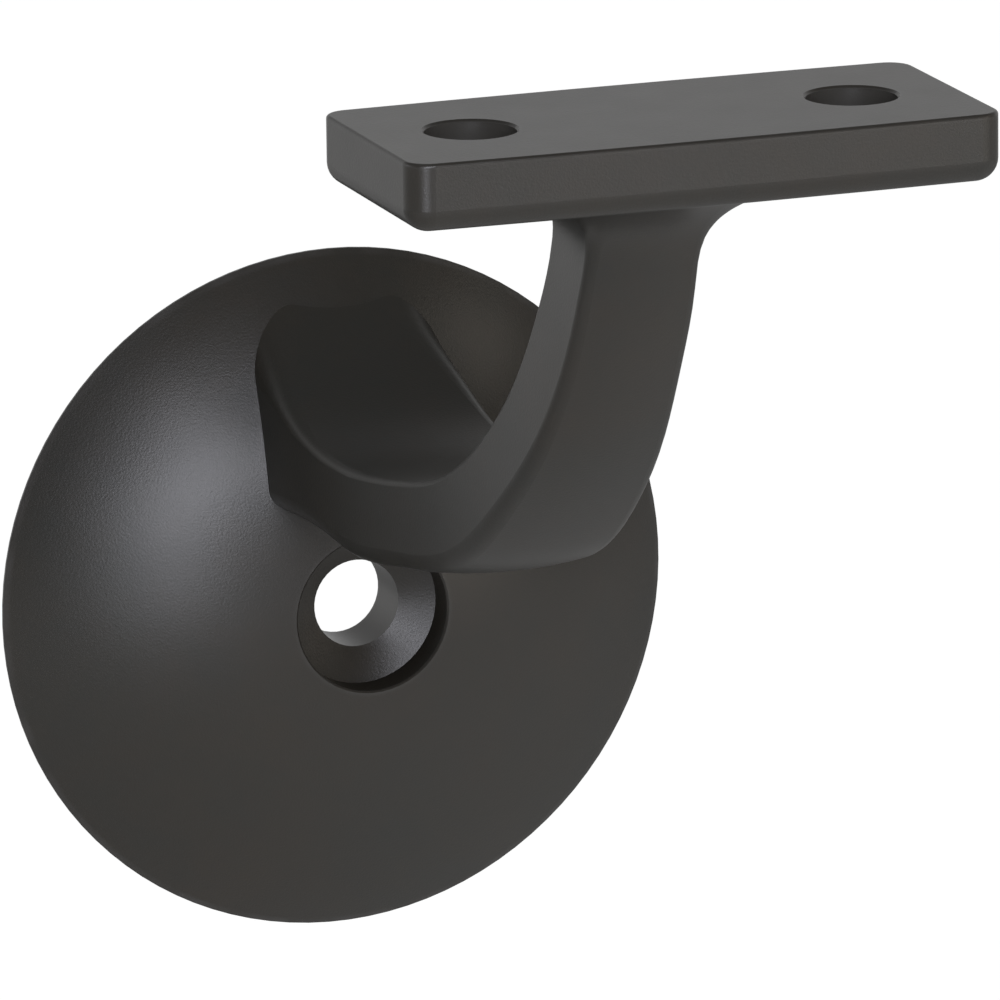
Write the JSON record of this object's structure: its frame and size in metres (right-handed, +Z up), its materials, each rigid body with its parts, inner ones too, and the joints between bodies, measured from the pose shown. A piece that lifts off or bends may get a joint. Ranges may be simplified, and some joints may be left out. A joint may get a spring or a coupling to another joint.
{
  "type": "handrail bracket",
  "caption": "Cast wall bracket for a handrail: round domed rosette, J-shaped arm and a flat saddle plate with countersunk holes, in dark satin finish.",
  "frame": {"origin": "centre of the rosette's back, in the wall plane, on the axis of the wall screw", "axes": "+Y into the wall, -Y out into the room, X along the handrail, +Z up; the part is mirror-symmetric about X = 0"},
  "size_m": [0.0698, 0.1074, 0.1026],
  "materials": {
    "dark_finish": "satin"
  },
  "bodies": {
    "root": {"handrail_bracket": "dark_finish"}
  },
  "joints": []
}
